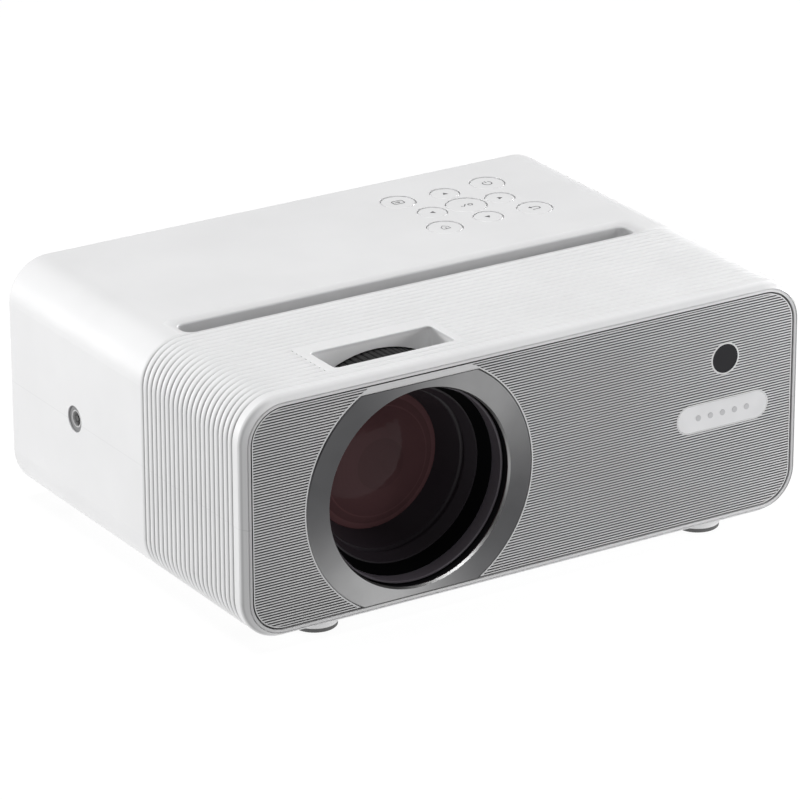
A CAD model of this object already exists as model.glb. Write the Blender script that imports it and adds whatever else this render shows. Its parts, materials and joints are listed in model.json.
"""Home projector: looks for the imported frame. Metres, X right, Y back, Z up."""

import json
import math

import bmesh
import bpy
from mathutils import Matrix, Vector


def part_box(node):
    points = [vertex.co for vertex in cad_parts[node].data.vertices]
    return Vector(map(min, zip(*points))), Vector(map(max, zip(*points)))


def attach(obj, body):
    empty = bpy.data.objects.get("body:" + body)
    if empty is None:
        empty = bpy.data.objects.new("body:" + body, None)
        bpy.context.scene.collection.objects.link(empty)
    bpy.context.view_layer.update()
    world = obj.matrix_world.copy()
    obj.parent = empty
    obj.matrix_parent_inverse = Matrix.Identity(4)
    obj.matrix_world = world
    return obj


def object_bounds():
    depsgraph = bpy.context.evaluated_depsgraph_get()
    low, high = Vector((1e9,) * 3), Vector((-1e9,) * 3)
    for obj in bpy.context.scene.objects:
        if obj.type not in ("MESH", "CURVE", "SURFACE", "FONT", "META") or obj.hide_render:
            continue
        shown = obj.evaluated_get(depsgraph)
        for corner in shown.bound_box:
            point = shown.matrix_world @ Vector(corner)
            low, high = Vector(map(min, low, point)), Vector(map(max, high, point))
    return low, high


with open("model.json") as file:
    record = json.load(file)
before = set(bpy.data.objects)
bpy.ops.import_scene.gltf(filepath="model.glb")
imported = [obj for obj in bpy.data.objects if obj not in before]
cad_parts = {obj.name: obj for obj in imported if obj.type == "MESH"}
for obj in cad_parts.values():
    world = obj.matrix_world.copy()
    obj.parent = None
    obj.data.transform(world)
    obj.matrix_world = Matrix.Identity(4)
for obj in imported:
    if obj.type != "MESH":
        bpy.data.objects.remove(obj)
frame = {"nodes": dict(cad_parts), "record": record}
cad_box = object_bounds()

MM = 0.001
NODES = frame["nodes"]
JOINTS = {joint["name"]: joint for joint in frame["record"]["behaviour"]["joints"]}
LOW, HIGH = (Vector(corner) for corner in cad_box)
CENTRE = (LOW + HIGH) / 2


# ---------------------------------------------------------------- node helpers
def new_material(name):
    """An empty node material; returns it with its tree and its Principled shader."""
    material = bpy.data.materials.new(name)
    material.use_nodes = True
    tree = material.node_tree
    tree.nodes.clear()
    output = tree.nodes.new("ShaderNodeOutputMaterial")
    shader = tree.nodes.new("ShaderNodeBsdfPrincipled")
    tree.links.new(shader.outputs["BSDF"], output.inputs["Surface"])
    return material, tree, shader


def object_noise(tree, scale, detail=2.0, roughness=0.5):
    """Noise over the object's own coordinates; scale is in features a metre."""
    place = tree.nodes.new("ShaderNodeTexCoord")
    noise = tree.nodes.new("ShaderNodeTexNoise")
    noise.inputs["Scale"].default_value = scale
    noise.inputs["Detail"].default_value = detail
    noise.inputs["Roughness"].default_value = roughness
    tree.links.new(place.outputs["Object"], noise.inputs["Vector"])
    return noise


def mapped(tree, source, low, high, from_low=0.3, from_high=0.7):
    """A 0..1 output stretched to low..high."""
    node = tree.nodes.new("ShaderNodeMapRange")
    node.inputs["From Min"].default_value = from_low
    node.inputs["From Max"].default_value = from_high
    node.inputs["To Min"].default_value = low
    node.inputs["To Max"].default_value = high
    tree.links.new(source, node.inputs["Value"])
    return node.outputs["Result"]


def varied_colour(tree, colour, spread, scale):
    """The colour, drifting a little lighter and darker over the surface."""
    noise = object_noise(tree, scale, 3.0)
    ramp = tree.nodes.new("ShaderNodeValToRGB")
    ramp.color_ramp.elements[0].position = 0.35
    ramp.color_ramp.elements[1].position = 0.65
    ramp.color_ramp.elements[0].color = (*[channel * (1 - spread) for channel in colour], 1)
    ramp.color_ramp.elements[1].color = (*[channel * (1 + spread) for channel in colour], 1)
    tree.links.new(noise.outputs["Fac"], ramp.inputs["Fac"])
    return ramp.outputs["Color"]


def grain_bump(tree, scale, depth, strength=1.0):
    """Fine moulded grain as a bump; depth is in metres."""
    noise = object_noise(tree, scale, 2.0, 0.6)
    bump = tree.nodes.new("ShaderNodeBump")
    bump.inputs["Distance"].default_value = depth
    bump.inputs["Strength"].default_value = strength
    tree.links.new(noise.outputs["Fac"], bump.inputs["Height"])
    return bump.outputs["Normal"]


def plastic(name, colour, roughness, grain=1800.0, depth=0.00002, spread=0.015, gloss=0.5):
    """Moulded plastic: slight colour drift, uneven sheen and a fine grain."""
    material, tree, shader = new_material(name)
    tree.links.new(varied_colour(tree, colour, spread, 35.0), shader.inputs["Base Color"])
    patches = object_noise(tree, 60.0, 4.0)
    sheen = mapped(tree, patches.outputs["Fac"], roughness - 0.04, roughness + 0.04)
    tree.links.new(sheen, shader.inputs["Roughness"])
    shader.inputs["Specular IOR Level"].default_value = gloss
    tree.links.new(grain_bump(tree, grain, depth), shader.inputs["Normal"])
    return material


def metal(name, colour, roughness, grain=900.0, depth=0.00001, anisotropy=0.0, axis=None):
    """Metal with a fine finish; with an axis, the finish runs round that axis."""
    material, tree, shader = new_material(name)
    tree.links.new(varied_colour(tree, colour, 0.03, 50.0), shader.inputs["Base Color"])
    patches = object_noise(tree, 120.0, 4.0)
    sheen = mapped(tree, patches.outputs["Fac"], roughness - 0.04, roughness + 0.05)
    tree.links.new(sheen, shader.inputs["Roughness"])
    shader.inputs["Metallic"].default_value = 1.0
    shader.inputs["Anisotropic"].default_value = anisotropy
    if axis:
        tangent = tree.nodes.new("ShaderNodeTangent")
        tangent.direction_type = "RADIAL"
        tangent.axis = axis
        tree.links.new(tangent.outputs["Tangent"], shader.inputs["Tangent"])
    tree.links.new(grain_bump(tree, grain, depth), shader.inputs["Normal"])
    return material


def glass(name, colour, roughness=0.0, ior=1.5):
    """Clear or tinted glass with faint unevenness."""
    material, tree, shader = new_material(name)
    tree.links.new(varied_colour(tree, colour, 0.02, 30.0), shader.inputs["Base Color"])
    shader.inputs["Transmission Weight"].default_value = 1.0
    shader.inputs["IOR"].default_value = ior
    shader.inputs["Roughness"].default_value = roughness
    return material


def math_node(tree, operation, first, second=None, third=None):
    """One Math node; each input is another node's output or a number."""
    node = tree.nodes.new("ShaderNodeMath")
    node.operation = operation
    for index, value in enumerate((first, second, third)):
        if value is None:
            continue
        if isinstance(value, (int, float)):
            node.inputs[index].default_value = value
        else:
            tree.links.new(value, node.inputs[index])
    return node.outputs["Value"]


def distance(tree, across, up):
    """Length of the line with these two parts."""
    across_square = math_node(tree, "MULTIPLY", across, across)
    up_square = math_node(tree, "MULTIPLY", up, up)
    return math_node(tree, "SQRT", math_node(tree, "ADD", across_square, up_square))


def object_axes(tree):
    """The object's X, Y and Z coordinates as three outputs."""
    place = tree.nodes.new("ShaderNodeTexCoord")
    split = tree.nodes.new("ShaderNodeSeparateXYZ")
    tree.links.new(place.outputs["Object"], split.inputs["Vector"])
    return split.outputs["X"], split.outputs["Y"], split.outputs["Z"]


def about_lens(tree):
    """Distance from the lens axis, and the angle round it from +X towards +Z."""
    x, _, z = object_axes(tree)
    across = math_node(tree, "SUBTRACT", x, LENS_AXIS.x)
    up = math_node(tree, "SUBTRACT", z, LENS_AXIS.z)
    return distance(tree, across, up), math_node(tree, "ARCTAN2", up, across)


def within(tree, value, low, high, soft):
    """1 where the value lies between low and high, falling to 0 over the soft width outside."""
    rise = mapped(tree, value, 0.0, 1.0, low - soft, low)
    fall = mapped(tree, value, 1.0, 0.0, high, high + soft)
    return math_node(tree, "MULTIPLY", rise, fall)


def tinted(tree, shader, factor, colour):
    """Mixes the colour into the shader's base colour by the factor."""
    mix = tree.nodes.new("ShaderNodeMix")
    mix.data_type = "RGBA"
    plain = shader.inputs["Base Color"].links[0].from_socket
    sockets = [socket for socket in mix.inputs if socket.type == "RGBA"]
    tree.links.new(factor, mix.inputs[0])
    tree.links.new(plain, sockets[0])
    sockets[1].default_value = (*colour, 1)
    result = [socket for socket in mix.outputs if socket.type == "RGBA"][0]
    tree.links.new(result, shader.inputs["Base Color"])


# ---------------------------------------------------------------- places taken from the frame
def middle(node):
    """The middle of a node's box."""
    low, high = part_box(node)
    return (Vector(low) + Vector(high)) / 2


LENS_AXIS = Vector(JOINTS["focus_turn"]["pos_m"])
SEAM = LENS_AXIS.z          # the two shells meet at the height of the lens axis
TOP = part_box("top_shell")[1][2]
LIP_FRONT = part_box("top_shell")[0][1]
HALF_WIDTH = (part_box("top_shell")[1][0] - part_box("top_shell")[0][0]) / 2
HALF_HEIGHT = (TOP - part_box("bottom_shell")[0][2]) / 2
CORNER = 16.0 * MM          # radius of the body's long edges, seen from the front
RIDGE_DEPTH = 0.8 * MM
RING_INNER = 36.05 * MM
RING_BEVEL = 0.6 * MM       # width of the slope round the ring's inner edge

# the two recesses in the top: middle of the mouth, half length and half width
MOUNTS = {mount["name"]: mount for mount in frame["record"]["mounts"]}
SLOT_PLACE = Vector(MOUNTS["stand_slot"]["pos_m"])
SLOT_HALF_LENGTH = 97.7 * MM
SLOT_HALF_WIDTH = 7.6 * MM
POCKET_PLACE = Vector((LENS_AXIS.x - 1.7 * MM, -61.0 * MM, TOP))
POCKET_HALF_LENGTH = 26.0 * MM
POCKET_HALF_WIDTH = 9.4 * MM
RECESS_EDGE = 0.2 * MM      # the recess tones fade out over this beyond the mouth


# ---------------------------------------------------------------- materials
WHITE = (0.69, 0.69, 0.695)
GROOVE_GREY = (0.15, 0.15, 0.154)
LIP_GREY = (0.43, 0.43, 0.435)
SEAM_GREY = (0.25, 0.25, 0.255)
SLOT_GREY = (0.57, 0.57, 0.575)
POCKET_WHITE = (0.88, 0.88, 0.885)
SHELL_ROUGHNESS = 0.5
SHELL_GLOSS = 0.35


def below_outline(tree):
    """Depth of the surface below the body's rounded outline, and how far out to a side it is."""
    x, _, z = object_axes(tree)
    from_centre = math_node(tree, "ABSOLUTE", math_node(tree, "SUBTRACT", x, CENTRE.x))
    from_middle = math_node(tree, "ABSOLUTE", math_node(tree, "SUBTRACT", z, TOP - HALF_HEIGHT))
    across = math_node(tree, "SUBTRACT", from_centre, HALF_WIDTH - CORNER)
    up = math_node(tree, "SUBTRACT", from_middle, HALF_HEIGHT - CORNER)
    past_across = math_node(tree, "MAXIMUM", across, 0.0)
    past_up = math_node(tree, "MAXIMUM", up, 0.0)
    round_part = distance(tree, past_across, past_up)
    flat_part = math_node(tree, "MINIMUM", math_node(tree, "MAXIMUM", across, up), 0.0)
    reach = math_node(tree, "ADD", round_part, flat_part)
    depth = math_node(tree, "SUBTRACT", CORNER, reach)
    side = mapped(tree, from_centre, 0.0, 1.0, HALF_WIDTH - CORNER * 0.8, HALF_WIDTH - CORNER * 0.1)
    return depth, side


def ridged_white(name):
    """Shell white, with dulled side grooves, a greyer front lip and a fine seam between the halves."""
    material = plastic(name, WHITE, SHELL_ROUGHNESS, gloss=SHELL_GLOSS)
    tree = material.node_tree
    shader = tree.nodes["Principled BSDF"]
    depth, side = below_outline(tree)
    groove = within(tree, depth, RIDGE_DEPTH * 0.95, RIDGE_DEPTH * 1.2, RIDGE_DEPTH * 0.65)
    tinted(tree, shader, math_node(tree, "MULTIPLY", groove, side), GROOVE_GREY)
    _, y, z = object_axes(tree)
    # the lip is tinted about half as much above and below as at the sides
    lip = mapped(tree, y, 1.0, 0.0, LIP_FRONT + 1.5 * MM, LIP_FRONT + 3.0 * MM)
    lip_share = mapped(tree, side, 0.45, 1.0, 0.0, 1.0)
    tinted(tree, shader, math_node(tree, "MULTIPLY", lip, lip_share), LIP_GREY)
    # the seam is a hairline, plainer across the lip than along the sides
    hair = 0.1 * MM
    seam = within(tree, z, SEAM - hair, SEAM + hair, hair)
    seam_share = mapped(tree, lip, 0.1, 0.4, 0.0, 1.0)
    tinted(tree, shader, math_node(tree, "MULTIPLY", seam, seam_share), SEAM_GREY)
    return material


def in_recess(tree, place, half_length, half_width, full_depth, start_depth):
    """1 inside a recess of the top below the full depth, 0 above the start depth and outside it."""
    x, y, z = object_axes(tree)
    along = within(tree, x, place.x - half_length, place.x + half_length, RECESS_EDGE)
    across = within(tree, y, place.y - half_width, place.y + half_width, RECESS_EDGE)
    down = mapped(tree, z, 1.0, 0.0, TOP - full_depth, TOP - start_depth)
    return math_node(tree, "MULTIPLY", math_node(tree, "MULTIPLY", along, across), down)


def top_shell_white():
    """The shell's white, greyer in the stand slot and cleaner in the focus ring's pocket."""
    material = ridged_white("shell_white_top")
    tree = material.node_tree
    shader = tree.nodes["Principled BSDF"]
    slot = in_recess(tree, SLOT_PLACE, SLOT_HALF_LENGTH, SLOT_HALF_WIDTH, 1.1 * MM, 0.0)
    tinted(tree, shader, slot, SLOT_GREY)
    pocket = in_recess(
        tree, POCKET_PLACE, POCKET_HALF_LENGTH, POCKET_HALF_WIDTH, 1.5 * MM, 0.5 * MM
    )
    tinted(tree, shader, pocket, POCKET_WHITE)
    return material


# direction of each bright fan on the trim ring, in degrees from +X towards +Z, and its strength
RING_FANS = ((52.0, 0.6), (246.0, 0.95))


def spun_ring():
    """Aluminium faced on a lathe: fine circles, and two soft bright fans across them."""
    material = metal("ring_spun", (0.09, 0.09, 0.093), 0.36, anisotropy=0.6, axis="Y")
    tree = material.node_tree
    shader = tree.nodes["Principled BSDF"]
    radius, angle = about_lens(tree)
    for direction, strength in RING_FANS:
        turned = math_node(tree, "SUBTRACT", angle, math.radians(direction))
        facing = math_node(tree, "MAXIMUM", math_node(tree, "COSINE", turned), 0.0)
        fan = math_node(tree, "MULTIPLY", math_node(tree, "POWER", facing, 3.2), strength)
        tinted(tree, shader, fan, (0.43, 0.43, 0.432))
    bevel_end = RING_INNER + RING_BEVEL
    bevel = mapped(tree, radius, 1.0, 0.0, bevel_end - 0.15 * MM, bevel_end)
    tinted(tree, shader, bevel, (0.4, 0.4, 0.4))
    circles = tree.nodes.new("ShaderNodeTexNoise")
    circles.noise_dimensions = "1D"
    circles.inputs["Scale"].default_value = 5200.0
    circles.inputs["Detail"].default_value = 3.0
    tree.links.new(radius, circles.inputs["W"])
    bump = tree.nodes.new("ShaderNodeBump")
    bump.inputs["Distance"].default_value = 0.004 * MM
    tree.links.new(circles.outputs["Fac"], bump.inputs["Height"])
    tree.links.new(bump.outputs["Normal"], shader.inputs["Normal"])
    return material


# zones of the front lens: distance from its middle as a share of the rim, and brightness
LENS_BROWN = (0.062, 0.030, 0.032)
LENS_ZONES = (
    (0.0, 1.2), (0.36, 1.35), (0.37, 1.55), (0.60, 1.8), (0.78, 2.0), (0.79, 2.9), (0.81, 2.1),
    (0.90, 2.2), (0.905, 3.2), (0.985, 3.0), (1.0, 0.8),
)


def lens_coated():
    """Coated glass: deep brown, brighter outwards in faint zones, with a paler rim."""
    material = glass("glass_lens", (0.62, 0.42, 0.38), 0.02, 1.2)
    tree = material.node_tree
    shader = tree.nodes["Principled BSDF"]
    shader.inputs["Transmission Weight"].default_value = 0.35
    shader.inputs["Specular IOR Level"].default_value = 0.3
    radius, _ = about_lens(tree)
    ramp = tree.nodes.new("ShaderNodeValToRGB")
    elements = ramp.color_ramp.elements
    while len(elements) < len(LENS_ZONES):
        elements.new(0.5)
    for element, (place, level) in zip(elements, LENS_ZONES):
        element.position = place
        element.color = (*[channel * level for channel in LENS_BROWN], 1)
    rim = (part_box("front_lens")[1][0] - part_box("front_lens")[0][0]) / 2
    tree.links.new(mapped(tree, radius, 0.0, 1.0, 0.0, rim * 0.95), ramp.inputs["Fac"])
    tree.links.new(ramp.outputs["Color"], shader.inputs["Base Color"])
    return material


def knurled_grip():
    """Black grip with paler, worn crests."""
    material = plastic("grip_black", (0.006, 0.006, 0.006), 0.5, gloss=0.25)
    tree = material.node_tree
    shader = tree.nodes["Principled BSDF"]
    radius, _ = about_lens(tree)
    outer = (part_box("focus_ring")[1][0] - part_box("focus_ring")[0][0]) / 2
    crest = mapped(tree, radius, 0.0, 1.0, outer - 0.2 * MM, outer - 0.05 * MM)
    tinted(tree, shader, crest, (0.018, 0.018, 0.018))
    return material


def ribbed_grey():
    """Satin grey, with the grooves between the ribs dulled as unlit moulding is."""
    material = plastic("panel_grey", (0.54, 0.54, 0.545), 0.34, spread=0.02)
    tree = material.node_tree
    _, y, _ = object_axes(tree)
    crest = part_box("front_panel")[0][1]
    groove = mapped(tree, y, 0.0, 1.0, crest + 0.05 * MM, crest + 0.26 * MM)
    tinted(tree, tree.nodes["Principled BSDF"], groove, (0.01, 0.01, 0.011))
    return material


def badge_satin():
    """Satin metal with darker raised dots."""
    material = metal("badge_satin", (0.69, 0.69, 0.70), 0.4)
    tree = material.node_tree
    _, y, _ = object_axes(tree)
    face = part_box("badge_plate")[0][1]
    raised = mapped(tree, y, 1.0, 0.0, face + 0.03 * MM, face + 0.08 * MM)
    tinted(tree, tree.nodes["Principled BSDF"], raised, (0.5, 0.5, 0.51))
    return material


MATERIALS = {
    "white_shell": ridged_white("shell_white"),
    "white_keys": plastic("key_white", (0.73, 0.73, 0.735), 0.38),
    "grey_panel": ribbed_grey(),
    "spun_metal": spun_ring(),
    "dark_window": plastic("window_dark", (0.01, 0.01, 0.012), 0.15, depth=0.000002, gloss=0.2),
    "badge_metal": badge_satin(),
    "black_plastic": plastic("moulded_black", (0.02, 0.0175, 0.021), 0.5, gloss=0.3),
    "black_grip": knurled_grip(),
    "lens_glass": lens_coated(),
    "clear_plastic": glass("acrylic_clear", (0.9, 0.93, 0.95), 0.05, 1.49),
    "lcd_glass": plastic("picture_panel", (0.03, 0.035, 0.045), 0.15),
    "sink_metal": metal("aluminium_plain", (0.7, 0.71, 0.72), 0.35),
    "led_yellow": plastic("lamp_phosphor", (0.8, 0.62, 0.1), 0.4),
    "circuit_board": plastic("board_green", (0.02, 0.13, 0.05), 0.3),
    "steel": metal("steel_bright", (0.6, 0.6, 0.61), 0.25),
    "speaker_paper": plastic("cone_paper", (0.03, 0.03, 0.03), 0.8, grain=900.0, depth=0.0001),
    "foot_rubber": plastic("foot_rubber", (0.11, 0.11, 0.11), 0.7, depth=0.00004),
    "brass": metal("brass_turned", (0.75, 0.55, 0.22), 0.25),
}
# pieces whose finish differs from the rest of their slot
NODE_MATERIALS = {
    "top_shell": top_shell_white(),
    "rear_cover": plastic("cover_white", WHITE, SHELL_ROUGHNESS, gloss=SHELL_GLOSS),
    "lens_barrel": plastic("barrel_black", (0.07, 0.062, 0.073), 0.45, gloss=0.5),
    "lens_baffle": plastic("baffle_flocked", (0.0015, 0.0015, 0.0018), 0.9, gloss=0.05, depth=0.00005),
    "lens_retaining_ring": plastic("retainer_black", (0.018, 0.0145, 0.018), 0.45, gloss=0.3),
    "guide_tube": plastic("tube_black", (0.004, 0.004, 0.005), 0.6, gloss=0.15),
    "dc_jack": plastic("jack_grey", (0.5, 0.5, 0.5), 0.45),
    "dc_pin": metal("pin_dull", (0.1, 0.1, 0.1), 0.4),
}


def dress_nodes():
    """Every CAD node gets its own material, or else its slot's."""
    for entry in frame["record"]["subparts"]:
        name = entry["node"]
        material = NODE_MATERIALS.get(name, MATERIALS[entry["material_slot"]])
        NODES[name].data.materials.clear()
        NODES[name].data.materials.append(material)


dress_nodes()


# ---------------------------------------------------------------- symbols printed on the keys
INK_LIFT = 0.03 * MM       # the print stands this far above the key
STROKE = 0.42 * MM


def stroke_faces(mesh, points, width, closed=False):
    """A flat band of even width along a line of (x, y) points."""
    count = len(points)
    left, right = [], []
    for index, (x, y) in enumerate(points):
        before = points[(index - 1) % count] if closed or index > 0 else points[index]
        after = points[(index + 1) % count] if closed or index < count - 1 else points[index]
        along = Vector((after[0] - before[0], after[1] - before[1])).normalized()
        side = Vector((-along.y, along.x)) * width / 2
        left.append(mesh.verts.new((x + side.x, y + side.y, 0)))
        right.append(mesh.verts.new((x - side.x, y - side.y, 0)))
    for index in range(count if closed else count - 1):
        other = (index + 1) % count
        mesh.faces.new((right[index], right[other], left[other], left[index]))


def solid_face(mesh, points):
    """A filled outline of (x, y) points, counter-clockwise."""
    mesh.faces.new([mesh.verts.new((x, y, 0)) for x, y in points])


def arc(radius, start, end, steps=28, centre=(0.0, 0.0)):
    """Points round a circle from one angle to another, in degrees."""
    points = []
    for step in range(steps + 1):
        angle = math.radians(start + (end - start) * step / steps)
        points.append((centre[0] + radius * math.cos(angle), centre[1] + radius * math.sin(angle)))
    return points


def turned_points(points, degrees):
    """The (x, y) points turned about the origin."""
    turn = Matrix.Rotation(math.radians(degrees), 2)
    return [tuple(turn @ Vector(point)) for point in points]


def draw_arrow(mesh, direction):
    """A small filled triangle that points along the direction, in degrees."""
    size = 1.15 * MM
    corners = [(size, 0.0), (-size * 0.7, size), (-size * 0.7, -size)]
    solid_face(mesh, turned_points(corners, direction))


def draw_power(mesh):
    """An open circle with an upright bar in its gap."""
    radius = 1.75 * MM
    stroke_faces(mesh, arc(radius, 125, 415), STROKE)
    stroke_faces(mesh, [(0, 0.5 * MM), (0, 2.2 * MM)], STROKE)


def draw_source(mesh):
    """A rounded screen outline with a filled arrow going into it."""
    width, height, corner = 4.4 * MM, 3.2 * MM, 0.9 * MM
    outline = []
    for index, (sx, sy) in enumerate(((1, 1), (-1, 1), (-1, -1), (1, -1))):
        centre = (sx * (width / 2 - corner), sy * (height / 2 - corner))
        outline += arc(corner, 90 * index, 90 * index + 90, 6, centre)
    stroke_faces(mesh, outline, STROKE, closed=True)
    stroke_faces(mesh, [(-1.4 * MM, 0), (0.1 * MM, 0)], STROKE)
    solid_face(mesh, [(1.1 * MM, 0), (-0.1 * MM, 0.9 * MM), (-0.1 * MM, -0.9 * MM)])


def draw_back(mesh):
    """A line that turns back on itself, with an arrowhead."""
    bend = 1.15 * MM
    path = [(-1.2 * MM, bend)] + arc(bend, 90, -90, 16, (0.9 * MM, 0)) + [(-1.6 * MM, -bend)]
    stroke_faces(mesh, path, STROKE)
    solid_face(mesh, [(-2.2 * MM, bend), (-0.9 * MM, bend - 0.9 * MM), (-0.9 * MM, bend + 0.9 * MM)])


def draw_menu(mesh):
    """A small house with a door."""
    half, eaves, ridge = 1.5 * MM, 0.3 * MM, 1.9 * MM
    foot, door = -1.5 * MM, 1.3 * MM
    outline = [(-half, foot), (half, foot), (half, eaves), (0, ridge), (-half, eaves)]
    stroke_faces(mesh, outline, STROKE * 0.8, closed=True)
    stroke_faces(mesh, [(0, foot), (0, foot + door)], STROKE)


def draw_confirm(mesh):
    """A tick beside a small open circle."""
    stroke_faces(mesh, [(-2.4 * MM, -0.1 * MM), (-1.5 * MM, -1.0 * MM), (0.1 * MM, 1.0 * MM)], STROKE)
    stroke_faces(mesh, arc(0.85 * MM, 0, 360, 20, (1.6 * MM, -0.1 * MM))[:-1], STROKE, closed=True)


KEY_SYMBOLS = {
    "up": lambda mesh: draw_arrow(mesh, 90),
    "down": lambda mesh: draw_arrow(mesh, 270),
    "left": lambda mesh: draw_arrow(mesh, 180),
    "right": lambda mesh: draw_arrow(mesh, 0),
    "ok": draw_confirm,
    "power": draw_power,
    "source": draw_source,
    "back": draw_back,
    "menu": draw_menu,
}


def print_keys():
    """Each key's symbol, printed on its cap in grey."""
    ink = plastic("key_ink", (0.14, 0.14, 0.144), 0.5, gloss=0.3)
    for name, draw in KEY_SYMBOLS.items():
        mesh = bmesh.new()
        draw(mesh)
        bmesh.ops.recalc_face_normals(mesh, faces=mesh.faces)
        data = bpy.data.meshes.new(f"symbol_{name}")
        mesh.to_mesh(data)
        mesh.free()
        data.materials.append(ink)
        symbol = bpy.data.objects.new(f"symbol_{name}", data)
        centre = middle(f"key_{name}")
        symbol.location = (centre.x, centre.y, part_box(f"key_{name}")[1][2] + INK_LIFT)
        bpy.context.scene.collection.objects.link(symbol)
        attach(symbol, f"button_{name}")


print_keys()


# ---------------------------------------------------------------- floor, lights, camera
FLOOR_GLOW = 0.92
FLOOR_HALF = 60.0
SKY_GLOW = 0.03


def make_floor():
    """A pale floor far wider than the view."""
    half = FLOOR_HALF
    mesh = bpy.data.meshes.new("floor")
    corners = [(-half, -half, 0), (half, -half, 0), (half, half, 0), (-half, half, 0)]
    mesh.from_pydata(corners, [], [(0, 1, 2, 3)])
    floor = bpy.data.objects.new("floor", mesh)
    bpy.context.scene.collection.objects.link(floor)
    material = plastic("floor_pale", (0.1, 0.1, 0.1), 0.9, gloss=0.0, depth=0.0, spread=0.002)
    shader = material.node_tree.nodes["Principled BSDF"]
    shader.inputs["Emission Color"].default_value = (1, 1, 1, 1)
    shader.inputs["Emission Strength"].default_value = FLOOR_GLOW
    floor.data.materials.append(material)


def soft_light(name, place, size, watts):
    """A large area light aimed at the middle of the object."""
    data = bpy.data.lights.new(name, "AREA")
    data.shape = "RECTANGLE"
    data.size, data.size_y = size
    data.energy = watts
    light = bpy.data.objects.new(name, data)
    light.location = Vector(place)
    light.rotation_euler = (CENTRE - light.location).to_track_quat("-Z", "Y").to_euler()
    light.visible_camera = False
    bpy.context.scene.collection.objects.link(light)
    return light


def make_sky(strength):
    """Even white surroundings."""
    world = bpy.data.worlds.new("studio")
    bpy.context.scene.world = world
    world.use_nodes = True
    background = world.node_tree.nodes["Background"]
    background.inputs["Color"].default_value = (1, 1, 1, 1)
    background.inputs["Strength"].default_value = strength


CAMERA_AZIMUTH = math.radians(-32.1)
CAMERA_ELEVATION = math.radians(21.9)
CAMERA_ROLL = math.radians(-0.19)
CAMERA_DISTANCE = 1.8414
CAMERA_AIM = (-0.00107, -0.00417)   # where the view's axis passes the middle: right, up
CAMERA_LENS = 231.6


def make_camera():
    """A long lens from the front left, a little above."""
    back = Vector((
        math.sin(CAMERA_AZIMUTH) * math.cos(CAMERA_ELEVATION),
        -math.cos(CAMERA_AZIMUTH) * math.cos(CAMERA_ELEVATION),
        math.sin(CAMERA_ELEVATION),
    ))
    level = Vector((math.cos(CAMERA_AZIMUTH), math.sin(CAMERA_AZIMUTH), 0))
    upright = back.cross(level)
    right = level * math.cos(CAMERA_ROLL) + upright * math.sin(CAMERA_ROLL)
    up = upright * math.cos(CAMERA_ROLL) - level * math.sin(CAMERA_ROLL)
    data = bpy.data.cameras.new("camera")
    data.lens = CAMERA_LENS
    data.sensor_width = 36.0
    data.clip_end = 50.0
    camera = bpy.data.objects.new("camera", data)
    aim = CENTRE + right * CAMERA_AIM[0] + up * CAMERA_AIM[1]
    turn = Matrix((right, up, back)).transposed().to_4x4()
    camera.matrix_world = Matrix.Translation(aim + back * CAMERA_DISTANCE) @ turn
    bpy.context.scene.collection.objects.link(camera)
    bpy.context.scene.camera = camera


# name, place, width and height, watts
LIGHTS = (
    ("left_back", (-1.95, 1.5, 0.42), (1.2, 0.7), 41),
    ("near_front", (0.32, -0.32, 0.16), (0.12, 0.12), 0.85),
    ("front_left", (-0.45, -1.6, 1.5), (1.3, 1.3), 7.5),
    ("top", (-0.2, 0.0, 1.1), (0.6, 0.6), 10.1),
    ("right", (2.0, 0.5, 0.45), (0.9, 0.7), 32),
)


def make_lights():
    """All the lights; the small one near the front isn't mirrored by the ring or the glass."""
    lights = {}
    for name, place, size, watts in LIGHTS:
        lights[name] = soft_light(name, place, size, watts)
    lights["near_front"].visible_glossy = False
    lights["near_front"].visible_transmission = False


make_floor()
make_sky(SKY_GLOW)
make_lights()
make_camera()
bpy.context.scene.view_settings.view_transform = "Standard"
